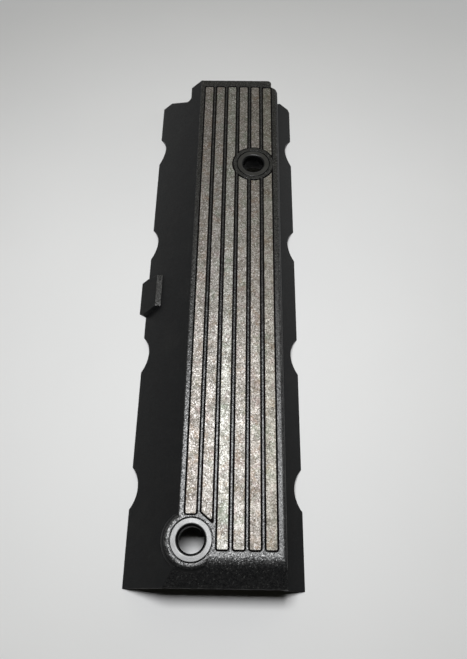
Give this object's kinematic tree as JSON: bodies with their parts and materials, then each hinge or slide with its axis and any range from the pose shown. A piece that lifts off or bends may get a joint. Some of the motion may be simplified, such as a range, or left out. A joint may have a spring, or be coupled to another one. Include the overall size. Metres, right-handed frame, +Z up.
{
  "type": "engine cover",
  "caption": "Long moulded engine cover with sloped scalloped flanks, a flat top inlaid with bright metal strips, and flanged grommets in bolt bosses.",
  "frame": {"origin": "below the middle of the bounding box, on the plane of the flanks' lower edges", "axes": "+Z up through the flat top, +Y along the cover towards its notched far end, +X towards the short flank"},
  "size_m": [0.1208, 0.408, 0.034],
  "materials": {
    "moulded_plastic": "black moulded plastic, fine grain on the top, smoother on the flanks",
    "metal_strip": "mottled, crystalline bright metal with a warm tint",
    "grommet_rubber": "smooth satin dark grey"
  },
  "bodies": {
    "root": {"cover_body": "moulded_plastic", "strip_1": "metal_strip", "strip_2": "metal_strip", "strip_3": "metal_strip", "strip_4_near": "metal_strip", "strip_4_far": "metal_strip", "strip_5_near": "metal_strip", "strip_5_far": "metal_strip", "strip_6_near": "metal_strip", "strip_6_far": "metal_strip", "grommet_near": "grommet_rubber", "grommet_far": "grommet_rubber"}
  },
  "joints": []
}
